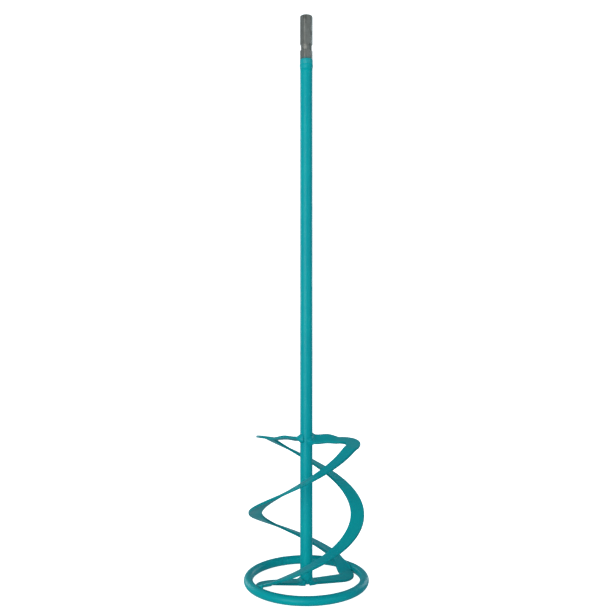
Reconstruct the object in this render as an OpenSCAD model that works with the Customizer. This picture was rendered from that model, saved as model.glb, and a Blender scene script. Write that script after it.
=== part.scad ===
// Mixing paddle for mortar: a round shaft with a hexagonal quick-coupling shank,
// two flat bars wound as right-handed helices, and a round-bar ring at the bottom.
// The origin is on the shaft's axis, at the underside of the ring, and +Z points to the shank.

/* [Shaft] */
// Height from the underside of the ring to the tip of the shank
overall_h = 545; // [430:1:700]
// Diameter of the shaft
shaft_d = 12; // [9:0.5:16]
// Height of the shaft's lower end above the underside of the ring
shaft_foot = 0.6; // [0.3:0.1:2]
// Chamfer around the shaft's lower end
shaft_chamfer = 0.6; // [0.2:0.1:1.5]

/* [Hex shank] */
// Size of the hexagon across its flats
hex_af = 11; // [8:0.5:14]
// Length of the hexagon
hex_len = 42; // [30:1:60]
// Turn of the hexagon's corners about the shaft's axis
hex_turn = 11.8; // [0:0.1:60]
// Height of the turned crown at the tip's corners
tip_chamfer = 1; // [0.5:0.1:3]
// Distance that the crown reaches in past the flats, at the tip
tip_inset = 0.2; // [0.1:0.05:1]
// Distance from the tip to the middle of the locking groove
groove_drop = 31; // [15:0.5:34]
// Width of the locking groove
groove_w = 4.2; // [2:0.1:8]
// Depth of the locking groove below the hexagon's flats
groove_depth = 0.2; // [0.1:0.05:1.2]
// Radius added at the round collar under the hexagon, past the shaft's radius
collar_step = 0.3; // [0.1:0.05:1]
// Height of the round collar
collar_h = 5; // [3:0.5:10]

/* [Blades] */
// Distance from the ring's outside in to the outside of the blades
blade_inset = 4.4; // [3:0.1:8]
// Width of the flat bar
bar_w = 13.2; // [9:0.1:16]
// Thickness of the flat bar
bar_t = 2.5; // [1.5:0.1:4]
// Height of the bar's middle where the helix starts at the upper elbow
upper_z = 135.3; // [100:0.1:180]
// Gap under the lower arms, when the ring stands on a floor
arm_floor_gap = 0.1; // [0.1:0.1:2]
// Angle that each helix turns through, between its elbows
blade_turn = 306; // [250:1:350]
// Direction of the upper elbow of blade A
blade_start = -30; // [-90:1:90]
// Angle from blade A round to blade B, as they are welded
blade_spacing = 176; // [170:1:190]
// Inner radius of the upper elbow's bend
upper_bend_in = 7.8; // [1:0.1:12]
// Inner radius of the lower elbow's bend
lower_bend_in = 0.9; // [0.5:0.1:8]
// Share of the full pitch that is left at the upper elbow
upper_ease = 0.3; // [0.2:0.02:1]
// Share of the full pitch that is left at the lower elbow
lower_ease = 0.32; // [0.2:0.02:0.6]
// Angle over which the pitch eases in beside each elbow
ease_turn = 11; // [10:1:60]
// Extra share of pitch at the top of the helix, taken off at its bottom
pitch_fade = 0.09; // [0:0.01:0.15]

/* [Arms] */
// Rise of the upper arms, from the start of the helix to the shaft
upper_arm_rise = 3.2; // [0:0.1:10]
// Roll of blade A's upper arm where it is welded to the shaft
upper_roll_a = 28; // [0:0.5:35]
// Roll of blade B's upper arm where it is welded to the shaft
upper_roll_b = 19.5; // [0:0.5:35]
// Height of the arch in each upper arm
arm_arch = 1.1; // [0:0.1:3]
// Power of the upper arms' twist, which is nearer to the elbow the higher it is
arm_twist = 2.5; // [1:0.1:4]

/* [Ring] */
// Outer diameter of the ring
ring_od = 120; // [90:1:160]
// Diameter of the ring's round bar
ring_bar_d = 8.7; // [6:0.1:12]
// Gap between the inside of the ring and each blade's lower elbow
ring_gap = 1.7; // [1.5:0.1:4]
// Direction of the weld that closes the ring
seam_at = 115; // [60:1:150]

/* [Welds] */
// Leg of the fillet welds at the shaft
hub_leg = 3.4; // [2:0.1:5]
// How far the welds at the shaft reach past the bar's edges
hub_side = 0.9; // [0.4:0.1:2]
// Toe of the welds between the ring and the blades
ring_toe = 1.5; // [0.8:0.1:2.5]
// Height of the crown of the shank's weld
weld_crown = 0.25; // [0.1:0.05:0.6]
// Width of the shank's weld at the surface
shank_weld_w = 4; // [2:0.5:6]
// Diameter of the faces that meet inside the shank's weld
weld_root_d = 6; // [3:0.5:8]
// Width of the ring's closing weld
seam_w = 5; // [3:0.5:8]

/* [Hidden] */
$fn = 96;
slack = 0.5;
touch = 0.04;
paint = [0.0, 0.6, 0.61];
bare_steel = [0.44, 0.46, 0.44];

shaft_r = shaft_d / 2;
collar_r = shaft_r + collar_step;
hex_corner_r = hex_af / sqrt(3);
tip_r = hex_af / 2 - tip_inset;
crown_drop = (pow(hex_corner_r, 2) - pow(tip_r, 2) + pow(tip_chamfer, 2)) / 2 / tip_chamfer;
crown_r = norm([tip_r, crown_drop]);
hex_base = overall_h - hex_len;
joint_z = hex_base - collar_h - shank_weld_w / 2;
weld_root_r = weld_root_d / 2;
shaft_top = joint_z - shank_weld_w / 2;

ring_bar_r = ring_bar_d / 2;
ring_r = ring_od / 2 - ring_bar_r;
seam_turn = 360 * seam_w / (2 * PI * ring_r);

upper_r = ring_od / 2 - blade_inset - bar_w / 2;
lower_r = ring_r - ring_bar_r - ring_gap - bar_w / 2;
tuck_h = 3 * ring_bar_r;
upper_bend = upper_bend_in + bar_w / 2;
lower_bend = lower_bend_in + bar_w / 2;
ramp = ease_turn / blade_turn;
pitch_total = 1 - (2 - upper_ease - lower_ease) * ramp / 2;
helix_steps = 144;
elbow_steps = 9;
arm_steps = 8;
arm_hold = hub_leg + slack;
hub_gap = 0.05;
upper_hub_z = upper_z + upper_arm_rise;
lower_hub_z = arm_floor_gap + bar_t / 2;
lower_slope = atan(upper_z * drop_rate(1) / (blade_turn * PI / 180) / lower_r);
lower_z = lower_hub_z + (lower_bend + bar_w / 2) * sin(lower_slope);

// The welds between ring and blades lie between these steps of the helix, counted back from its end
ring_weld_first = 10;
ring_weld_last = 2;
ring_arc_points = 6;
weld_loop = 28;
weld_back = 1.6;

function unit(v) = v / norm(v);
function full_angle(y, x) = let (a = atan2(y, x)) a < 0 ? a + 360 : a;
function blend(a, b, q) = a * (1 - q) + b * q;
function limited(x) = max(0, min(1, x));
function ease(x) = let (c = limited(x)) c * c * (3 - 2 * c);
function ease_area(x) = let (c = limited(x)) c - pow(c, 3) + pow(c, 4) / 2;

// Share of the drop that is done, and its rate, at share u of the turn
function drop_done(u) = (u
    - (1 - upper_ease) * ramp * ease_area(u / ramp)
    - (1 - lower_ease) * ramp * (0.5 - ease_area((1 - u) / ramp))
    + pitch_fade * sin(180 * u) / PI) / pitch_total;
function drop_rate(u) = (1
    - (1 - upper_ease) * (1 - ease(u / ramp))
    - (1 - lower_ease) * (1 - ease((1 - u) / ramp))
    + pitch_fade * cos(180 * u)) / pitch_total;

function helix_z(u) = blend(upper_z, lower_z, drop_done(u));
function helix_r(u) = blend(lower_r, upper_r, ease((helix_z(u) - lower_z) / tuck_h));
function helix_fall(u) = (upper_z - lower_z) * drop_rate(u) / (blade_turn * PI / 180);
function helix_slope(u) = atan(helix_fall(u) / helix_r(u));

// A station is its middle, the way across the bar, the way up from its face and the way along it
function helix_station(u) =
    let (a = -blade_turn * u, s = helix_slope(u), out = [cos(a), sin(a), 0],
        along = [sin(a) * cos(s), -cos(a) * cos(s), -sin(s)])
    [helix_r(u) * out + [0, 0, helix_z(u)], out, cross(along, out), along];

// The bend goes past a right angle, so that its arm points at the shaft's axis
function elbow_stations(u, bend, way) =
    let (s = helix_station(u), sweep = 90 + asin(bend / (helix_r(u) - bend)))
    [for (k = [0:elbow_steps])
        let (q = sweep * k / elbow_steps, across = s[1] * cos(q) - way * s[3] * sin(q))
        [s[0] - s[1] * bend + across * bend, across, s[2]]];

function plan(p) = unit([p[0], p[1], 0]);
function hub_point(tip, z) = (shaft_r + hub_gap) * plan(tip) + [0, 0, z];

// Frame of an arm at the shaft: its middle, outward, across and up
function hub_frame(tip, z, roll, way) =
    let (h = hub_point(tip, z), out = unit(tip - h), side = cross([0, 0, 1], plan(tip)),
        lean = way * (side * cos(roll) + [0, 0, sin(roll)]),
        across = unit(lean - out * (lean * out)))
    [h, out, across, way * cross(out, across)];

function arm_stations(end, z, roll, way, arch = 0, twist = 1) =
    let (f = hub_frame(end[0], z, roll, way), reach = norm(end[0] - f[0]))
    [for (k = [0:arm_steps])
        let (x = k == 0 ? 0 : blend(arm_hold, reach, (k - 1) / arm_steps),
            q = max(0, (x - arm_hold) / (reach - arm_hold)),
            w = blend(f[2], end[1], pow(q, twist)),
            across = unit(w - f[1] * (w * f[1])))
        [f[0] + f[1] * x + [0, 0, arch * pow(sin(180 * q), 2)], across, way * cross(f[1], across)]];

function last(list) = list[len(list) - 1];
function reversed(list) = [for (k = [len(list) - 1:-1:0]) list[k]];

upper_elbow = elbow_stations(0, upper_bend, 1);
lower_elbow = elbow_stations(1, lower_bend, -1);
lower_frame = hub_frame(last(lower_elbow)[0], lower_hub_z, 0, -1);
function upper_frame(roll) = hub_frame(last(upper_elbow)[0], upper_hub_z, roll, 1);
function blade_stations(roll) = concat(
    arm_stations(last(upper_elbow), upper_hub_z, roll, 1, arm_arch, arm_twist),
    reversed(upper_elbow),
    [for (k = [1:helix_steps - 1]) helix_station(k / helix_steps)],
    lower_elbow,
    reversed(arm_stations(last(lower_elbow), lower_hub_z, 0, -1)));

// Skin over loops of equal length, each a list of points in the same order
module skin(loops) {
    n = len(loops[0]);
    rings = len(loops);
    polyhedron(
        points = [for (loop = loops) each loop],
        faces = concat(
            [[for (j = [n - 1:-1:0]) j]],
            [for (i = [0:rings - 2], j = [0:n - 1]) [i * n + j, i * n + (j + 1) % n, (i + 1) * n + j]],
            [for (i = [0:rings - 2], j = [0:n - 1])
                [i * n + (j + 1) % n, (i + 1) * n + (j + 1) % n, (i + 1) * n + j]],
            [[for (j = [0:n - 1]) (rings - 1) * n + j]]));
}

function bar_corners(s) = [for (c = [[1, 1], [-1, 1], [-1, -1], [1, -1]])
    s[0] + s[1] * c[0] * bar_w / 2 + s[2] * c[1] * bar_t / 2];

module blade_bar(roll) {
    skin([for (s = blade_stations(roll)) bar_corners(s)]);
}

module at_frame(f) {
    multmatrix([for (i = [0:2]) [f[1][i], f[2][i], f[3][i], f[0][i]]])
        children();
}

module shaft_core() {
    translate([0, 0, shaft_foot])
        cylinder(h = shaft_top - shaft_foot, r = shaft_r);
}

// Fillet weld round an arm's end, cut to fit the shaft, the arm and the floor line
module hub_weld(f) {
    start = weld_back - shaft_r;
    profile = [[start, hub_side, hub_leg], [-hub_leg / 2, hub_side, hub_leg * 0.96],
        [0, hub_side * 0.85, hub_leg * 0.72], [hub_leg * 0.35, hub_side * 0.6, hub_leg * 0.36],
        [hub_leg * 0.7, hub_side * 0.35, hub_leg * 0.14], [hub_leg, 0.12, 0.12]];
    difference() {
        at_frame(f)
            skin([for (p = profile)
                let (half_w = bar_w / 2 + p[1], half_t = bar_t / 2 + p[2])
                [for (k = [0:weld_loop - 1])
                    let (a = 360 * k / weld_loop, c = cos(a), s = sin(a))
                    [p[0], half_w * sign(c) * pow(abs(c), 0.6), half_t * sign(s) * pow(abs(s), 0.6)]]]);
        translate([0, 0, f[0][2] - bar_w])
            cylinder(h = 2 * bar_w, r = shaft_r);
        at_frame(f)
            translate([0, -bar_w / 2, -bar_t / 2])
                cube([bar_w, bar_w, bar_t]);
        translate([-bar_w * 2, -bar_w * 2, arm_floor_gap - bar_w])
            cube([bar_w * 4, bar_w * 4, bar_w]);
    }
}

// Section of a weld between the ring and a blade, at share u of the turn and share v of the bead
function ring_weld_loop(u, v) =
    let (s = helix_station(u), tilt = cos(helix_slope(u)),
        toe = ring_toe * (0.35 + 0.65 * sin(180 * v)),
        edge = helix_r(u) + bar_w / 2 + touch,
        low = helix_z(u) - bar_t / 2 * tilt,
        high = helix_z(u) + bar_t / 2 * tilt + touch,
        from = full_angle(low - ring_bar_r, edge - ring_r),
        to = full_angle(high - ring_bar_r, edge - ring_r) - toe / ring_bar_r * 180 / PI,
        arc = [for (k = [0:ring_arc_points])
            let (a = blend(from, to, k / ring_arc_points))
            [ring_r + (ring_bar_r + touch) * cos(a), ring_bar_r + (ring_bar_r + touch) * sin(a)]],
        crest = [blend(last(arc)[0], edge - toe, 0.5), blend(last(arc)[1], high, 0.5) + toe * 0.3],
        outline = concat([[edge - toe, high], [edge, high], [edge, low]], arc, [crest]))
    [for (p = outline) s[0] + s[1] * (p[0] - helix_r(u)) + s[2] * (p[1] - helix_z(u)) / tilt];

module ring_weld() {
    skin([for (k = [ring_weld_first:-1:ring_weld_last])
        let (v = (ring_weld_first - k) / (ring_weld_first - ring_weld_last))
        ring_weld_loop(1 - k / helix_steps, v)]);
}

module turn_a() {
    rotate([0, 0, blade_start])
        children();
}

module turn_b() {
    rotate([0, 0, blade_start + blade_spacing])
        children();
}

module hex_shank() {
    color(bare_steel)
        difference() {
            union() {
                rotate([0, 0, hex_turn])
                    intersection() {
                        translate([0, 0, hex_base])
                            cylinder(h = hex_len, r = hex_corner_r, $fn = 6);
                        union() {
                            translate([0, 0, overall_h - crown_drop])
                                sphere(r = crown_r);
                            translate([0, 0, hex_base - slack])
                                cylinder(h = hex_len - crown_drop + slack, r = crown_r);
                        }
                    }
                rotate_extrude()
                    polygon([[0, joint_z], [weld_root_r, joint_z],
                        [collar_r, joint_z + shank_weld_w / 2], [collar_r, hex_base], [0, hex_base]]);
            }
            translate([0, 0, overall_h - groove_drop - groove_w / 2])
                difference() {
                    cylinder(h = groove_w, r = hex_corner_r + slack);
                    translate([0, 0, -slack])
                        cylinder(h = groove_w + 2 * slack, r = hex_af / 2 - groove_depth);
                }
        }
}

module shank_weld() {
    color(paint)
        rotate_extrude()
            polygon([[weld_root_r, joint_z], [shaft_r, joint_z - shank_weld_w / 2],
                [shaft_r + weld_crown * 0.75, joint_z - shank_weld_w / 4],
                [blend(shaft_r, collar_r, 0.5) + weld_crown, joint_z],
                [collar_r + weld_crown * 0.75, joint_z + shank_weld_w / 4],
                [collar_r, joint_z + shank_weld_w / 2]]);
}

module shaft() {
    color(paint)
        rotate_extrude()
            polygon([[0, shaft_foot], [shaft_r - shaft_chamfer, shaft_foot],
                [shaft_r, shaft_foot + shaft_chamfer], [shaft_r, shaft_top],
                [weld_root_r, joint_z], [0, joint_z]]);
}

module blade_a() {
    color(paint)
        turn_a()
            blade_bar(upper_roll_a);
}

module blade_b() {
    color(paint)
        turn_b()
            blade_bar(upper_roll_b);
}

module upper_weld_a() {
    color(paint)
        turn_a()
            hub_weld(upper_frame(upper_roll_a));
}

module upper_weld_b() {
    color(paint)
        turn_b()
            hub_weld(upper_frame(upper_roll_b));
}

module lower_weld_a() {
    color(paint)
        turn_a()
            hub_weld(lower_frame);
}

module lower_weld_b() {
    color(paint)
        turn_b()
            hub_weld(lower_frame);
}

module bottom_ring() {
    color(paint)
        rotate([0, 0, seam_at + seam_turn / 2])
            rotate_extrude(angle = 360 - seam_turn)
                translate([ring_r, ring_bar_r])
                    circle(r = ring_bar_r);
}

module ring_seam_weld() {
    color(paint)
        rotate([0, 0, seam_at - seam_turn / 2])
            rotate_extrude(angle = seam_turn)
                translate([ring_r, ring_bar_r])
                    circle(r = ring_bar_r);
}

module ring_weld_a() {
    color(paint)
        turn_a()
            ring_weld();
}

module ring_weld_b() {
    color(paint)
        turn_b()
            ring_weld();
}

hex_shank();
shank_weld();
shaft();
blade_a();
blade_b();
upper_weld_a();
upper_weld_b();
lower_weld_a();
lower_weld_b();
bottom_ring();
ring_seam_weld();
ring_weld_a();
ring_weld_b();
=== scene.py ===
import math

import bpy
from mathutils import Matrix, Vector, noise


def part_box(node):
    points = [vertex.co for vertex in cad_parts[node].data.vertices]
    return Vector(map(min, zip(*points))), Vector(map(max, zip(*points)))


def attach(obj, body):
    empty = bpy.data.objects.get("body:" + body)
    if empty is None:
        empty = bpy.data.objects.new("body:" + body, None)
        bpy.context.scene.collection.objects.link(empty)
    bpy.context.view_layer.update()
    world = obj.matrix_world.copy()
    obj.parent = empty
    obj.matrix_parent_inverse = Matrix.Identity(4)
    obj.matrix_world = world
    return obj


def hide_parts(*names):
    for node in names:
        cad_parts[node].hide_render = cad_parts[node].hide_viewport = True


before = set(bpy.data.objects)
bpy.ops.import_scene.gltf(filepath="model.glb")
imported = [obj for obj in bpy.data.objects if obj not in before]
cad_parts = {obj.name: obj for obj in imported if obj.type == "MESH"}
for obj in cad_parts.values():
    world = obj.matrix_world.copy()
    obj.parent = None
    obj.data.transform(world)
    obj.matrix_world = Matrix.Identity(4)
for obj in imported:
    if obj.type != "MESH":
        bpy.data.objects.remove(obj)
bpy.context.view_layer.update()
print("frame loaded")

# Camera and studio

view = {
    "distance": 0.7442,     # from the shaft's axis
    "height": 0.2716,       # the lens is level, about half way up the paddle
    "aside": 0.0016,
    "focal": 45.25,
    "sensor": 36.0,
    "drop": -0.0121,        # lens shift, so that the ring and the tip both stay in the frame
    "farthest": 20,
}


def makeCamera():
    data = bpy.data.cameras.new("studioCamera")
    data.lens = view["focal"]
    data.sensor_width = view["sensor"]
    data.shift_y = view["drop"]
    data.clip_end = view["farthest"]
    camera = bpy.data.objects.new("studioCamera", data)
    camera.location = (view["aside"], -view["distance"], view["height"])
    camera.rotation_euler = (math.pi / 2, 0, 0)
    bpy.context.scene.collection.objects.link(camera)
    bpy.context.scene.camera = camera


studioLights = {
    "keyLight": {"place": (-0.9, -2.0, 0.16), "size": 1.6, "power": 58, "tint": (1.0, 0.99, 0.96)},
    "fillLight": {"place": (1.7, -1.5, 0.7), "size": 1.3, "power": 7, "tint": (0.8, 0.93, 1.0)},
    "backLight": {"place": (1.5, 1.7, 0.6), "size": 1.2, "power": 14, "tint": (0.85, 0.95, 1.0)},
    "rimLight": {"place": (-1.6, 1.4, 0.5), "size": 1.2, "power": 18, "tint": (0.85, 0.95, 1.0)},
}
studio = {"aim": (0, 0, 0.25), "sky": (0.68, 0.9, 1.0), "skyPower": 0.43}


def makeLights():
    for name, light in studioLights.items():
        data = bpy.data.lights.new(name, "AREA")
        data.size = light["size"]
        data.energy = light["power"]
        data.color = light["tint"]
        lamp = bpy.data.objects.new(name, data)
        lamp.location = light["place"]
        aim = Vector(studio["aim"]) - lamp.location
        lamp.rotation_euler = aim.to_track_quat("-Z", "Y").to_euler()
        lamp.visible_camera = False
        bpy.context.scene.collection.objects.link(lamp)


def makeSky():
    world = bpy.data.worlds.new("studioSky")
    world.use_nodes = True
    background = world.node_tree.nodes["Background"]
    background.inputs["Color"].default_value = (*studio["sky"], 1)
    background.inputs["Strength"].default_value = studio["skyPower"]
    bpy.context.scene.world = world
    bpy.context.scene.view_settings.view_transform = "Standard"


makeCamera()
makeLights()
makeSky()
print("camera and lights made")

# Shader maths


class Wire:
    def __init__(self, maker, socket):
        self.maker = maker
        self.socket = socket

    def calc(self, operation, first, second):
        return self.maker.node("ShaderNodeMath", {"operation": operation}, {0: first, 1: second})

    def __add__(self, other):
        return self.calc("ADD", self, other)

    def __radd__(self, other):
        return self.calc("ADD", other, self)

    def __sub__(self, other):
        return self.calc("SUBTRACT", self, other)

    def __rsub__(self, other):
        return self.calc("SUBTRACT", other, self)

    def __mul__(self, other):
        return self.calc("MULTIPLY", self, other)

    def __rmul__(self, other):
        return self.calc("MULTIPLY", other, self)


shaderSockets = {
    "baseColour": "Base Color",
    "roughness": "Roughness",
    "metallic": "Metallic",
    "normal": "Normal",
    "specular": "Specular IOR Level",
    "glow": "Emission Color",
    "glowPower": "Emission Strength",
}


class Finish:
    def __init__(self, name):
        self.material = bpy.data.materials.new(name)
        self.material.use_nodes = True
        self.tree = self.material.node_tree
        self.shader = self.tree.nodes["Principled BSDF"]

    def node(self, kind, settings, inputs, output=0):
        made = self.tree.nodes.new(kind)
        for key, value in settings.items():
            setattr(made, key, value)
        for key, value in inputs.items():
            self.feed(made.inputs[key], value)
        return Wire(self, made.outputs[output])

    def feed(self, socket, value):
        if isinstance(value, Wire):
            self.tree.links.new(value.socket, socket)
        elif socket.type == "RGBA":
            socket.default_value = (*value, 1)
        else:
            socket.default_value = value

    def set(self, **inputs):
        for key, value in inputs.items():
            self.feed(self.shader.inputs[shaderSockets[key]], value)

    def place(self):
        return self.node("ShaderNodeTexCoord", {}, {}, output="Object")

    def stretched(self, scale):
        settings = {"operation": "MULTIPLY"}
        return self.node("ShaderNodeVectorMath", settings, {0: self.place(), 1: scale})

    def speckle(self, vector, scale, detail):
        inputs = {"Vector": vector, "Scale": scale, "Detail": detail}
        return self.node("ShaderNodeTexNoise", {}, inputs)

    def streaks(self, scale, detail):
        return self.speckle(self.stretched(scale), 1.0, detail)

    def range(self, value, low, high, toLow=0.0, toHigh=1.0):
        inputs = {"Value": value, "From Min": low, "From Max": high, "To Min": toLow, "To Max": toHigh}
        return self.node("ShaderNodeMapRange", {"clamp": True}, inputs)

    def colour(self, factor, first, second):
        inputs = {"Factor": factor, 6: first, 7: second}
        return self.node("ShaderNodeMix", {"data_type": "RGBA"}, inputs, output=2)

    def height(self, place):
        return self.node("ShaderNodeSeparateXYZ", {}, {0: place}, output="Z")

    def carried(self, name):
        return self.node("ShaderNodeAttribute", {"attribute_name": name}, {}, output="Fac")

    def bump(self, height, distance, strength, **under):
        inputs = {"Height": height, "Distance": distance, "Strength": strength, **under}
        return self.node("ShaderNodeBump", {}, inputs)


# Finishes

coat = {
    "teal": (0.0, 0.315, 0.335),
    "deep": (0.0, 0.245, 0.3),
    "cloudScale": 26.0,           # patches of thicker and thinner coat, a few centimetres across
    "cloudRange": (0.35, 0.65),
    "cloudShare": 0.55,
    "thin": (0.0, 0.16, 0.18),    # along the edges, where powder coat pulls back
    "thinScale": 340.0,
    "thinRagged": 0.7,
    "thinRange": (0.55, 1.05),
    "thinShare": 0.75,
    "dust": (0.05, 0.4, 0.41),
    "dustScale": 900.0,
    "dustRange": (0.74, 0.8),
    "dustShare": 0.35,
    "glossScale": 75.0,
    "glossRange": (0.3, 0.7),
    "glossier": 0.06,
    "duller": 0.1,
    "peelScale": 620.0,           # orange peel, under two millimetres a cell
    "peelHeight": 0.00005,
    "grainScale": 2600.0,
    "grainHeight": 0.000012,
    "grainShare": 0.6,
    "specular": 0.1,
}


def coatColour(finish):
    where = finish.place()
    cloud = finish.range(finish.speckle(where, coat["cloudScale"], 3.0), *coat["cloudRange"])
    base = finish.colour(cloud * coat["cloudShare"], coat["teal"], coat["deep"])
    worn = finish.carried("edge")
    ragged = finish.speckle(where, coat["thinScale"], 3.0)
    thin = finish.range(worn + (ragged - 0.5) * coat["thinRagged"], *coat["thinRange"])
    base = finish.colour(thin * coat["thinShare"], base, coat["thin"])
    dust = finish.range(finish.speckle(where, coat["dustScale"], 0.0), *coat["dustRange"])
    return finish.colour(dust * coat["dustShare"], base, coat["dust"])


def coatNormal(finish, strength):
    where = finish.place()
    peel = finish.speckle(where, coat["peelScale"], 1.0)
    grain = finish.speckle(where, coat["grainScale"], 1.0)
    rough = finish.bump(grain, coat["grainHeight"], coat["grainShare"] * strength)
    return finish.bump(peel, coat["peelHeight"], strength, Normal=rough)


def makePowderCoat(name, peel, roughness):
    finish = Finish(name)
    patch = finish.speckle(finish.place(), coat["glossScale"], 4.0)
    low = roughness - coat["glossier"]
    high = roughness + coat["duller"]
    finish.set(
        baseColour=coatColour(finish),
        roughness=finish.range(patch, *coat["glossRange"], low, high),
        normal=coatNormal(finish, peel),
        specular=coat["specular"])
    return finish.material


steel = {
    "pale": (0.26, 0.255, 0.235),
    "dark": (0.145, 0.142, 0.13),
    "oil": (0.05, 0.047, 0.038),
    "drawnScale": (1500.0, 1500.0, 22.0),     # long lines down the flats
    "turnedScale": (30.0, 30.0, 3800.0),      # rings where a lathe has cut
    "lineShare": 0.7,
    "lineHeight": 0.000018,
    "lineStrength": 0.7,
    "cloudScale": 150.0,
    "cloudRange": (0.35, 0.7),
    "cloudShare": 0.6,
    "stainScale": (260.0, 260.0, 90.0),
    "stainRange": (0.56, 0.72),
    "stainShare": 0.7,
    "metallic": 0.85,
    "specular": 0.3,
    "roughLines": 0.4,
    "roughRange": (0.1, 1.2),
    "roughness": (0.46, 0.66),
    "paintScale": 420.0,
    "paintWander": 0.0012,                    # the coat's border wanders by this much
    "paintBelow": 0.0002,
    "paintAbove": 0.0003,
    "veilAbove": 0.0022,                      # thin overspray past the border
    "veilShare": 0.7,
    "paintPeel": 0.35,
    "paintRoughness": 0.36,
}


def makeShankSteel(name, paintTop):
    finish = Finish(name)
    where = finish.place()
    drawn = finish.streaks(steel["drawnScale"], 3.0)
    turned = finish.streaks(steel["turnedScale"], 2.0)
    lathe = finish.carried("turned")
    lines = drawn * (1 - lathe) + turned * lathe
    cloud = finish.range(finish.speckle(where, steel["cloudScale"], 4.0), *steel["cloudRange"])
    metal = finish.colour(lines * steel["lineShare"], steel["pale"], steel["dark"])
    metal = finish.colour(cloud * steel["cloudShare"], metal, steel["dark"])
    stain = finish.range(finish.streaks(steel["stainScale"], 4.0), *steel["stainRange"])
    metal = finish.colour(stain * steel["stainShare"], metal, steel["oil"])
    level = finish.height(where)
    wander = (finish.speckle(where, steel["paintScale"], 3.0) - 0.5) * steel["paintWander"]
    low = paintTop - steel["paintBelow"]
    painted = finish.range(level + wander, low, paintTop + steel["paintAbove"], 1.0, 0.0)
    veil = finish.range(level + wander * 2, low, paintTop + steel["veilAbove"], 1.0, 0.0)
    metal = finish.colour(veil * steel["veilShare"], metal, coat["thin"])
    rough = finish.range(cloud + lines * steel["roughLines"], *steel["roughRange"], *steel["roughness"])
    under = coatNormal(finish, steel["paintPeel"])
    bare = lines * (1 - painted)
    finish.set(
        baseColour=finish.colour(painted, metal, coatColour(finish)),
        metallic=(1 - painted) * steel["metallic"],
        roughness=rough * (1 - painted) + painted * steel["paintRoughness"],
        normal=finish.bump(bare, steel["lineHeight"], steel["lineStrength"], Normal=under),
        specular=steel["specular"])
    return finish.material


tealCoat = makePowderCoat("tealPowderCoat", peel=0.32, roughness=0.34)
weldCoat = makePowderCoat("tealCoatOverWeld", peel=0.2, roughness=0.4)

# Mesh helpers


def outward(points, faces):
    volume = 0.0
    for face in faces:
        for j in range(1, len(face) - 1):
            volume += points[face[0]].dot(points[face[j]].cross(points[face[j + 1]]))
    return faces if volume > 0 else [tuple(reversed(face)) for face in faces]


def sideFaces(rows, count):
    faces = []
    for row in range(rows - 1):
        for j in range(count):
            k = (j + 1) % count
            faces.append((row * count + j, row * count + k, (row + 1) * count + k, (row + 1) * count + j))
    return faces


def makeObject(name, points, faces, finish):
    mesh = bpy.data.meshes.new(name)
    mesh.from_pydata(points, [], faces)
    mesh.validate()
    mesh.polygons.foreach_set("use_smooth", [True] * len(mesh.polygons))
    mesh.materials.append(finish)
    made = bpy.data.objects.new(name, mesh)
    bpy.context.scene.collection.objects.link(made)
    return made


def skin(name, loops, finish, **measures):
    count = len(loops[0])
    points = [p for loop in loops for p in loop]
    faces = sideFaces(len(loops), count)
    faces.append(tuple(reversed(range(count))))
    faces.append(tuple((len(loops) - 1) * count + j for j in range(count)))
    piece = makeObject(name, points, outward(points, faces), finish)
    measures = {"edge": [0.0] * len(points), **measures}      # what the finishes read at each point
    for key, values in measures.items():
        piece.data.attributes.new(key, "FLOAT", "POINT").data.foreach_set("value", values)
    return piece


def settle(piece, slot, *nodes):
    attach(piece, "root")
    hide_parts(*nodes)


def limited(value):
    return max(0.0, min(1.0, value))


def ease(value):
    part = limited(value)
    return part * part * (3 - 2 * part)


def mixed(first, second, share):
    return first * (1 - share) + second * share


def spread(low, high, count):
    return [mixed(low, high, k / count) for k in range(count + 1)]


def around(count):
    return [2 * math.pi * k / count for k in range(count)]


def outAt(angle):
    return Vector((math.cos(angle), math.sin(angle), 0))


def wobble(point, scale, height):
    return noise.noise(Vector(point) * scale) * height


def turnedAbout(point, angle):
    c = math.cos(angle)
    s = math.sin(angle)
    return Vector((point[0] * c - point[1] * s, point[0] * s + point[1] * c, point[2]))


# Sizes read from the frame

shaftLow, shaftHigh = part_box("shaft")
ringLow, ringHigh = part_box("bottom_ring")
weldLow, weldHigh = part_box("shank_weld")
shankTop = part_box("hex_shank")[1].z
shaftRadius = (shaftHigh.x - shaftLow.x) / 2
ringBar = (ringHigh.z - ringLow.z) / 2
ringOuter = (ringHigh.y - ringLow.y) / 2
ringRadius = ringOuter - ringBar

# Where the shaft and the shank meet inside their weld, both are turned down to a core
joint = {"height": (weldLow.z + weldHigh.z) / 2, "core": shaftRadius * 0.6}
pinhole = 0.0002      # a turned piece closes on a face of this radius

# Shaft

shaftBar = {
    "chamfer": 0.0006,
    "chamferShares": (0.3, 0.6, 1.0),
    "chamferPast": 0.0004,
    "wornHeight": 0.0012,
    "sides": 96,
    "rows": 160,
    "waver": 0.00002,
    "waverScale": 90,
}


def shaftRows():
    low = shaftLow.z
    cut = shaftBar["chamfer"]
    start = low + cut + shaftBar["chamferPast"]
    rows = [(low, pinhole), (low, shaftRadius - cut - pinhole), (low, shaftRadius - cut)]
    for part in shaftBar["chamferShares"]:
        rows.append((low + cut * part, shaftRadius - cut * (1 - math.sin(part * math.pi / 2))))
    rows += [(height, shaftRadius) for height in spread(start, weldLow.z, shaftBar["rows"])]
    return rows + [(joint["height"], joint["core"]), (joint["height"], pinhole)]


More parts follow.
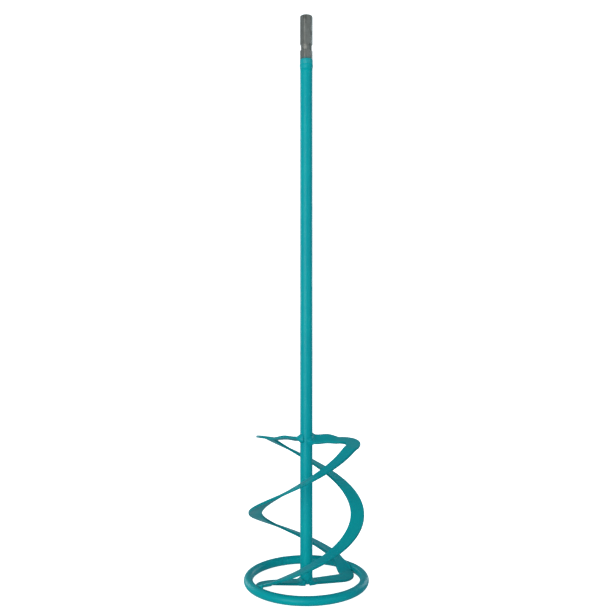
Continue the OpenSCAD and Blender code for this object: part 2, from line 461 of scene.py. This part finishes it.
def makeShaft():
    loops = []
    worn = []
    for height, radius in shaftRows():
        loop = []
        for angle in around(shaftBar["sides"]):
            point = Vector((radius * math.cos(angle), radius * math.sin(angle), height))
            ripple = 0
            if radius == shaftRadius:
                ripple = wobble(point, shaftBar["waverScale"], shaftBar["waver"])
            loop.append(point + outAt(angle) * ripple)
            worn.append(ease(1 - (height - shaftLow.z) / shaftBar["wornHeight"]))
        loops.append(loop)
    piece = skin("shaftBar", loops, tealCoat, edge=worn)
    settle(piece, "teal_coat", "shaft")


makeShaft()
print("shaft made")

# Hexagonal shank

shank = {
    "flats": 0.011,
    "turn": math.radians(11.8),
    "length": 0.042,
    "cornerRound": 0.00045,
    "cornerShare": 0.33,      # of the rounding that is missing from the corner
    "cornerTightness": 6000.0,
    "crownHeight": 0.001,
    "tipRadius": 0.0053,
    "tipFlat": 0.0048,
    "tipCut": 0.00015,        # the tip's edge is this much smaller, back to full size at tipDepth
    "tipDepth": 0.0003,
    "grooveDrop": 0.031,
    "grooveWidth": 0.0042,
    "grooveRadius": 0.0053,
    "coneAbove": 0.0021,      # the turned cones that run out of the groove over the corners
    "coneBelow": 0.0009,
    "conePast": 0.0001,
    "lathePast": 0.0012,      # lathe lines reach this far past the groove
    "latheFade": 0.0006,
    "collarStep": 0.0003,
    "collarFull": 0.0004,
    "collarRows": 10,
    "collarFade": 4,
    "sides": 240,
}

# The collar's rounded upper edge: how deep, how far outside the hexagon, how far inside the collar
collarEdge = ((0.0, 0.00008, 0.0005), (0.0001, 0.0001, 0.00025))

hexCorner = shank["flats"] / 2 / math.cos(math.pi / 6)
crownRise = shank["crownHeight"]
crownDrop = (hexCorner ** 2 - shank["tipRadius"] ** 2 + crownRise ** 2) / 2 / crownRise
crownRadius = math.hypot(shank["tipRadius"], crownDrop)
collarRadius = shaftRadius + shank["collarStep"]
shankBase = shankTop - shank["length"]


def hexRadius(angle):
    side = (angle - shank["turn"]) % (math.pi / 3) - math.pi / 6
    flat = shank["flats"] / 2 / math.cos(side)
    corner = hexCorner - shank["cornerRound"] * shank["cornerShare"]
    tight = shank["cornerTightness"]
    return -math.log(math.exp(-tight * flat) + math.exp(-tight * corner)) / tight


def shankRadius(angle, drop):
    crown = math.sqrt(crownRadius ** 2 - max(0.0, crownDrop - drop) ** 2)
    radius = min(hexRadius(angle), crown - shank["tipCut"] * (1 - ease(drop / shank["tipDepth"])))
    off = drop - shank["grooveDrop"]
    cone = shank["coneAbove"] if off < 0 else shank["coneBelow"]
    share = limited((abs(off) - shank["grooveWidth"] / 2) / cone)
    return min(radius, mixed(shank["grooveRadius"], hexCorner + shank["conePast"], share))


def latheShare(drop):
    crown = shank["crownHeight"] - drop
    groove = shank["grooveWidth"] / 2 + shank["lathePast"] - abs(drop - shank["grooveDrop"])
    return ease(max(crown, groove) / shank["latheFade"])


def shankDrops():
    top = shank["grooveDrop"] - shank["grooveWidth"] / 2
    foot = shank["grooveDrop"] + shank["grooveWidth"] / 2
    above = top - shank["coneAbove"]
    below = foot + shank["coneBelow"]
    stretches = (
        (0.0, 0.0004, 4),
        (0.0005, 0.0022, 16),
        (0.003, above - 0.0002, 30),
        (above, top, 16),
        (top + 0.0001, foot - 0.0001, 8),
        (foot, below, 10),
        (below + 0.0002, shank["length"] - 0.0002, 8),
    )
    return [drop for stretch in stretches for drop in spread(*stretch)]


def collarSections(hexagon):
    sections = [(shankBase, hexagon, 0.0)]
    for depth, outside, inside in collarEdge:
        radii = [max(radius + outside, collarRadius - inside) for radius in hexagon]
        sections.append((shankBase - depth, radii, 1.0))
    for share in spread(0.0, 1.0, shank["collarRows"]):
        fade = ease(share * shank["collarFade"])
        height = mixed(shankBase - shank["collarFull"], weldHigh.z, share)
        radii = [mixed(max(radius, collarRadius), collarRadius, fade) for radius in hexagon]
        sections.append((height, radii, 1.0))
    return sections


def makeShank():
    angles = around(shank["sides"])
    hexagon = [hexRadius(angle) for angle in angles]
    sections = [(shankTop, [radius] * len(angles), 1.0) for radius in (pinhole, shank["tipFlat"])]
    for drop in shankDrops():
        radii = [shankRadius(angle, drop) for angle in angles]
        sections.append((shankTop - drop, radii, latheShare(drop)))
    sections += collarSections(hexagon)
    sections += [(joint["height"], [radius] * len(angles), 1.0) for radius in (joint["core"], pinhole)]
    loops = []
    turned = []
    for height, radii, lathe in reversed(sections):
        loops.append([Vector((r * math.cos(a), r * math.sin(a), height)) for r, a in zip(radii, angles)])
        turned += [lathe] * len(angles)
    finish = makeShankSteel("bareShankSteel", shankBase - collarEdge[1][0])
    piece = skin("hexShank", loops, finish, turned=turned)
    settle(piece, "bare_steel", "hex_shank")


makeShank()
print("shank made")

# Weld between shank and shaft

shankWeld = {
    "crown": 0.00025,
    "curve": 0.7,
    "past": 0.0003,
    "sunk": 0.00006,
    "ripple": 0.00006,
    "ripples": 26,
    "sweep": 2.2,
    "lump": 0.00005,
    "lumpScale": 500,
    "rows": 20,
    "sides": 156,
}


def makeShankWeld():
    loops = []
    for share in spread(0.0, 1.0, shankWeld["rows"]):
        height = mixed(weldLow.z - shankWeld["past"], weldHigh.z + shankWeld["past"], share)
        base = mixed(shaftRadius, collarRadius, ease(share)) - shankWeld["sunk"]
        body = math.sin(math.pi * share)
        loop = []
        for angle in around(shankWeld["sides"]):
            wave = math.sin(angle * shankWeld["ripples"] + shankWeld["sweep"] * body)
            radius = base + body ** shankWeld["curve"] * (shankWeld["crown"] + shankWeld["ripple"] * wave)
            point = Vector((radius * math.cos(angle), radius * math.sin(angle), height))
            lump = wobble(point, shankWeld["lumpScale"], shankWeld["lump"])
            loop.append(point + point.normalized() * lump * body)
        loops.append(loop)
    piece = skin("shankWeldBead", loops, weldCoat)
    settle(piece, "teal_coat", "shank_weld")


makeShankWeld()
print("shank weld made")

# Helical blades

blade = {
    "inset": 0.0044,
    "barWidth": 0.0132,
    "barThick": 0.0025,
    "barRound": 0.0007,
    "upperHeight": 0.1353,
    "floorGap": 0.0001,
    "turn": math.radians(306),
    "start": math.radians(-30),
    "spacing": math.radians(176),
    "upperBendIn": 0.0078,
    "lowerBendIn": 0.0009,
    "upperEase": 0.3,
    "lowerEase": 0.32,
    "easeTurn": math.radians(11),
    "pitchFade": 0.09,
    "flareRise": 3 * ringBar,      # the foot widens to the full radius over this height
    "armRise": 0.0032,
    "armArch": 0.0011,
    "armTwist": 2.5,
    "armHold": 0.0005,             # an arm starts to twist this far past its weld
    "ringGap": 0.0017,
    "weldLeg": 0.0034,
    "helixSteps": 288,
    "elbowSteps": 26,
    "armSteps": 14,
    "cornerSteps": 5,
    "flatSteps": 9,
    "swell": 0.14,                 # a bar bent on edge thickens inside the bend and thins outside it
    "swellEnds": 5,
    "waver": 0.00005,
    "waverScale": 110,
}

# What differs between the two blades, and where the noise of each starts
bladePair = {
    "A": {"angle": blade["start"], "roll": math.radians(28), "barSeed": 3.0, "weldSeed": 1.0},
    "B": {"angle": blade["start"] + blade["spacing"], "roll": math.radians(19.5), "barSeed": 8.0,
          "weldSeed": 5.0},
}

halfWidth = blade["barWidth"] / 2
halfThick = blade["barThick"] / 2
upperBend = blade["upperBendIn"] + halfWidth
lowerBend = blade["lowerBendIn"] + halfWidth
upperRadius = ringOuter - blade["inset"] - halfWidth
lowerRadius = ringRadius - ringBar - blade["ringGap"] - halfWidth
ramp = blade["easeTurn"] / blade["turn"]
pitchTotal = 1 - (2 - blade["upperEase"] - blade["lowerEase"]) * ramp / 2


def easeArea(value):
    part = limited(value)
    return part - part ** 3 + part ** 4 / 2


def dropDone(u):
    upper = (1 - blade["upperEase"]) * ramp * easeArea(u / ramp)
    lower = (1 - blade["lowerEase"]) * ramp * (0.5 - easeArea((1 - u) / ramp))
    return (u - upper - lower + blade["pitchFade"] * math.sin(math.pi * u) / math.pi) / pitchTotal


def dropRate(u):
    upper = (1 - blade["upperEase"]) * (1 - ease(u / ramp))
    lower = (1 - blade["lowerEase"]) * (1 - ease((1 - u) / ramp))
    return (1 - upper - lower + blade["pitchFade"] * math.cos(math.pi * u)) / pitchTotal


lowerArmHeight = blade["floorGap"] + halfThick
lowerSlope = math.atan(blade["upperHeight"] * dropRate(1) / blade["turn"] / lowerRadius)
lowerHeight = lowerArmHeight + (lowerBend + halfWidth) * math.sin(lowerSlope)
upperArmHeight = blade["upperHeight"] + blade["armRise"]


def helixPlace(u):
    height = mixed(blade["upperHeight"], lowerHeight, dropDone(u))
    radius = mixed(lowerRadius, upperRadius, ease((height - lowerHeight) / blade["flareRise"]))
    fall = (blade["upperHeight"] - lowerHeight) * dropRate(u) / blade["turn"]
    return radius, height, math.atan(fall / radius)


def helixStation(u):
    radius, height, slope = helixPlace(u)
    angle = -blade["turn"] * u
    out = outAt(angle)
    level = math.cos(slope)
    along = Vector((math.sin(angle) * level, -math.cos(angle) * level, -math.sin(slope)))
    return {"middle": out * radius + Vector((0, 0, height)), "across": out, "up": along.cross(out),
            "along": along, "bend": 0.0}


def elbowStations(u, bend, way):
    s = helixStation(u)
    radius = helixPlace(u)[0]
    sweep = math.pi / 2 + math.asin(bend / (radius - bend))
    ends = blade["swellEnds"]
    stations = []
    for share in spread(0.0, 1.0, blade["elbowSteps"]):
        across = s["across"] * math.cos(sweep * share) - s["along"] * way * math.sin(sweep * share)
        middle = s["middle"] - s["across"] * bend + across * bend
        stations.append({"middle": middle, "across": across, "up": s["up"],
                         "bend": ease(share * ends) * ease((1 - share) * ends)})
    return stations


def hubFrame(tip, height, roll, way):
    plan = Vector((tip.x, tip.y, 0)).normalized()
    middle = plan * shaftRadius + Vector((0, 0, height))
    out = (tip - middle).normalized()
    side = Vector((0, 0, 1)).cross(plan)
    lean = (side * math.cos(roll) + Vector((0, 0, math.sin(roll)))) * way
    across = (lean - out * lean.dot(out)).normalized()
    return {"middle": middle, "out": out, "across": across, "up": out.cross(across) * way}


def armStations(end, height, roll, way, arch=0.0, power=1.0):
    hub = hubFrame(end["middle"], height, roll, way)
    reach = (end["middle"] - hub["middle"]).length
    hold = blade["weldLeg"] + blade["armHold"]
    stations = []
    for share in spread(0.0, 1.0, blade["armSteps"])[:-1]:
        twist = max(0.0, (reach * share - hold) / (reach - hold))
        lean = mixed(hub["across"], end["across"], twist ** power)
        across = (lean - hub["out"] * lean.dot(hub["out"])).normalized()
        middle = hub["middle"] + hub["out"] * reach * share
        middle.z += arch * math.sin(math.pi * twist) ** 2
        up = hub["out"].cross(across) * way
        stations.append({"middle": middle, "across": across, "up": up, "bend": 0.0})
    return stations


upperElbow = elbowStations(0, upperBend, 1)
lowerElbow = elbowStations(1, lowerBend, -1)


def bladeStations(roll):
    helix = [helixStation(k / blade["helixSteps"]) for k in range(1, blade["helixSteps"])]
    arms = armStations(upperElbow[-1], upperArmHeight, roll, 1, blade["armArch"], blade["armTwist"])
    feet = armStations(lowerElbow[-1], lowerArmHeight, 0.0, -1)
    return arms + upperElbow[::-1] + helix + lowerElbow + feet[::-1]


def barOutline():
    bend = blade["barRound"]
    outline = []
    for corner, (x, y) in enumerate(((1, 1), (-1, 1), (-1, -1), (1, -1))):
        for part in spread(0.0, math.pi / 2, blade["cornerSteps"]):
            angle = corner * math.pi / 2 + part
            wide = (halfWidth - bend) * x + bend * math.cos(angle)
            outline.append((wide, (halfThick - bend) * y + bend * math.sin(angle)))
        if corner % 2 == 0:      # the wide faces need points between their corners
            flat = spread(-halfWidth + bend, halfWidth - bend, blade["flatSteps"])[1:-1]
            outline += [(-x * wide, halfThick * y) for wide in flat]
    return outline


def makeBlade(name, node, angle, roll, seed):
    outline = barOutline()
    rounding = blade["barRound"]
    loops = []
    worn = []
    for s in bladeStations(roll):
        loop = []
        for x, y in outline:
            thick = 1 - blade["swell"] * s["bend"] * x / halfWidth
            place = s["middle"] + s["across"] * x + s["up"] * (y * thick)
            sag = wobble(place + Vector((seed, 0, 0)), blade["waverScale"], blade["waver"])
            loop.append(turnedAbout(place + s["up"] * sag, angle))
            worn.append(ease((abs(x) - halfWidth + rounding) / rounding))
        loops.append(loop)
    piece = skin(name, loops, tealCoat, edge=worn)
    settle(piece, "teal_coat", node)


for letter, own in bladePair.items():
    makeBlade("helixBlade" + letter, "blade_" + letter.lower(), own["angle"], own["roll"], own["barSeed"])
print("blades made")

# Welds at the shaft

hubWeld = {
    "back": 0.0016,
    "side": 0.0009,
    "sideLost": 0.9,
    "proud": 0.00005,
    "curve": 0.75,
    "ripple": 0.00016,
    "ripples": 22,
    "sweep": 2.5,
    "sides": 132,
    "rows": 22,
    "lump": 0.00018,
    "lumpScale": 320,
    "squareness": 0.6,       # of the section, where 1 is an oval and 0 is a box
}


def squared(value):
    return math.copysign(abs(value) ** hubWeld["squareness"], value)


def makeHubWeld(name, node, hub, angle, seed):
    start = hubWeld["back"] - shaftRadius
    leg = blade["weldLeg"]
    loops = []
    for share in spread(0.0, 1.0, hubWeld["rows"]):
        reach = mixed(start, leg, share)
        rise = leg * (1 - ease((reach + leg * 0.5) / (leg * 1.5)) ** hubWeld["curve"])
        side = hubWeld["side"] * (1 - hubWeld["sideLost"] * ease((reach + leg) / (2 * leg)))
        body = math.sin(math.pi * limited((reach + leg * 0.7) / (leg * 1.7)))
        phase = hubWeld["sweep"] * math.sin(math.pi * share)
        loop = []
        for turn in around(hubWeld["sides"]):
            c = math.cos(turn)
            s = math.sin(turn)
            wide = (halfWidth + side + hubWeld["proud"]) * squared(c)
            tall = (halfThick + rise + hubWeld["proud"]) * squared(s)
            wave = math.sin(turn * hubWeld["ripples"] + phase) * hubWeld["ripple"] * body
            normal = (hub["across"] * c + hub["up"] * s).normalized()
            place = hub["middle"] + hub["out"] * reach + hub["across"] * wide + hub["up"] * tall
            lump = wobble(place + Vector((seed, seed, 0)), hubWeld["lumpScale"], hubWeld["lump"]) * body
            place = place + normal * (wave + lump)
            place.z = max(place.z, blade["floorGap"])
            loop.append(turnedAbout(place, angle))
        loops.append(loop)
    piece = skin(name, loops, weldCoat)
    settle(piece, "teal_coat", node)


lowerHub = hubFrame(lowerElbow[-1]["middle"], lowerArmHeight, 0.0, -1)
for letter, own in bladePair.items():
    seed = own["weldSeed"]
    upperHub = hubFrame(upperElbow[-1]["middle"], upperArmHeight, own["roll"], 1)
    makeHubWeld("upperArmWeld" + letter, "upper_weld_" + letter.lower(), upperHub, own["angle"], seed)
    makeHubWeld("lowerArmWeld" + letter, "lower_weld_" + letter.lower(), lowerHub, own["angle"], seed + 2)
print("hub welds made")

# Bottom ring

ring = {
    "turnSteps": 420,
    "sides": 48,
    "waver": 0.00004,
    "waverScale": 120,
}

seamWeld = {
    "at": math.radians(115),
    "width": 0.005,
    "past": 0.1,              # share of its width that runs on over the bar at each end
    "rise": 0.00014,
    "sunk": 0.00004,
    "ripple": 0.2,
    "ripples": 26,
    "steps": 24,
}
seamTurn = seamWeld["width"] / ringRadius


def ringLoop(angle, radius):
    out = outAt(angle)
    loop = []
    for turn in around(ring["sides"]):
        normal = out * math.cos(turn) + Vector((0, 0, math.sin(turn)))
        place = out * ringRadius + Vector((0, 0, ringBar)) + normal * radius
        place = place + normal * wobble(place, ring["waverScale"], ring["waver"])
        place.z = max(place.z, 0.0)
        loop.append(place)
    return loop


def makeRing():
    first = seamWeld["at"] + seamTurn / 2
    last = seamWeld["at"] - seamTurn / 2 + 2 * math.pi
    loops = [ringLoop(angle, ringBar) for angle in spread(first, last, ring["turnSteps"])]
    piece = skin("bottomRing", loops, tealCoat)
    settle(piece, "teal_coat", "bottom_ring")


def makeSeamWeld():
    past = seamWeld["past"]
    loops = []
    for share in spread(-past, 1 + past, seamWeld["steps"]):
        angle = seamWeld["at"] + seamTurn * (share - 0.5)
        body = math.sin(math.pi * limited((share + past) / (1 + 2 * past)))
        ripple = seamWeld["ripple"] * math.sin(share * seamWeld["ripples"]) * body
        loops.append(ringLoop(angle, ringBar - seamWeld["sunk"] + seamWeld["rise"] * (body + ripple)))
    piece = skin("ringSeamWeld", loops, weldCoat)
    settle(piece, "teal_coat", "ring_seam_weld")


makeRing()
makeSeamWeld()
print("ring made")

# Welds between the ring and the blades

ringWeld = {
    "first": 10 / 144,       # in shares of the helix before its lower end
    "last": 2 / 144,
    "toe": 0.0015,
    "toeLeast": 0.35,
    "crest": 0.3,
    "sunk": 0.0001,
    "edgeIn": 0.0003,
    "capFall": 0.08,
    "steps": 56,
    "arcPoints": 10,
    "ripple": 0.00013,
    "ripples": 13,
}


def fullAngle(y, x):
    return math.atan2(y, x) % (2 * math.pi)


def ringWeldLoop(u, share):
    radius, height, slope = helixPlace(u)
    s = helixStation(u)
    tilt = math.cos(slope)
    edge = radius + halfWidth
    low = height - halfThick * tilt
    high = height + halfThick * tilt
    wave = ringWeld["ripple"] * math.sin(share * 2 * math.pi * ringWeld["ripples"])
    least = ringWeld["toeLeast"]
    toe = ringWeld["toe"] * (least + (1 - least) * math.sin(math.pi * share)) + wave * 1.5
    crest = toe * ringWeld["crest"]
    start = fullAngle(low - ringBar, edge - ringRadius)
    end = fullAngle(high - ringBar, edge - ringRadius) - toe / ringBar
    bar = ringBar - ringWeld["sunk"]
    arc = [(ringRadius + bar * math.cos(a), ringBar + bar * math.sin(a))
           for a in spread(start, end, ringWeld["arcPoints"])]
    inner = (edge - toe, high - ringWeld["sunk"])
    outline = [inner, (edge - ringWeld["edgeIn"], height), (edge, low)] + arc
    cap = (edge, high + crest)
    for part in (0.25, 0.5, 0.75):
        lift = math.sin(math.pi * part) * (crest + wave)
        outline.append((mixed(arc[-1][0], cap[0], part), mixed(arc[-1][1], cap[1], part) + lift))
    outline += [cap, (mixed(cap[0], inner[0], 0.5), cap[1] - toe * ringWeld["capFall"])]
    return [s["middle"] + s["across"] * (x - radius) + s["up"] * ((z - height) / tilt) for x, z in outline]


def makeRingWeld(name, node, angle):
    loops = []
    for share in spread(0.0, 1.0, ringWeld["steps"]):
        u = 1 - mixed(ringWeld["first"], ringWeld["last"], share)
        loops.append([turnedAbout(p, angle) for p in ringWeldLoop(u, share)])
    piece = skin(name, loops, weldCoat)
    settle(piece, "teal_coat", node)


for letter, own in bladePair.items():
    makeRingWeld("ringWeld" + letter, "ring_weld_" + letter.lower(), own["angle"])
print("ring welds made")

# Floor

floor = {
    "paper": (0.9, 0.9, 0.9),
    "fibre": (0.88, 0.885, 0.89),
    "fibreScale": 9.0,
    "fibreShare": 0.3,
    "roughness": 0.95,
    "specular": 0.1,
    "glow": 0.95,
    "near": 1.6,
    "far": 5.0,
    "bend": 1.4,
    "rise": 4.5,
    "peak": 0.5,             # the backdrop closes over the room, this much above its walls
    "steps": 24,
    "sides": 96,
}


def makeFloorPaper(name):
    finish = Finish(name)
    fibre = finish.speckle(finish.place(), floor["fibreScale"], 2.0)
    finish.set(
        baseColour=finish.colour(fibre * floor["fibreShare"], floor["paper"], floor["fibre"]),
        roughness=floor["roughness"],
        specular=floor["specular"],
        glow=(1.0, 1.0, 1.0),
        glowPower=floor["glow"])
    return finish.material


def revolved(name, profile, finish):
    points = [(r * math.cos(a), r * math.sin(a), z) for r, z in profile for a in around(floor["sides"])]
    made = makeObject(name, points, sideFaces(len(profile), floor["sides"]), finish)
    return made


def makeFloor():
    finish = makeFloorPaper("paleFloorPaper")
    sheet = revolved("paperFloor", [(0.001, 0.0), (0.3, 0.0), (floor["near"], 0.0)], finish)
    bend = floor["bend"]
    profile = [(floor["near"], 0.0), (floor["far"] - bend, 0.0)]
    for part in spread(0.0, math.pi / 2, floor["steps"])[1:]:
        profile.append((floor["far"] - bend * (1 - math.sin(part)), bend * (1 - math.cos(part))))
    profile += [(floor["far"], floor["rise"]), (0.01, floor["rise"] + floor["peak"])]
    bowl = revolved("paperBackdrop", profile, finish)
    bowl.visible_shadow = False
    for paper in (sheet, bowl):       # a white room to look at, which lights nothing
        paper.visible_diffuse = False
        paper.visible_glossy = False


makeFloor()
print("floor made")
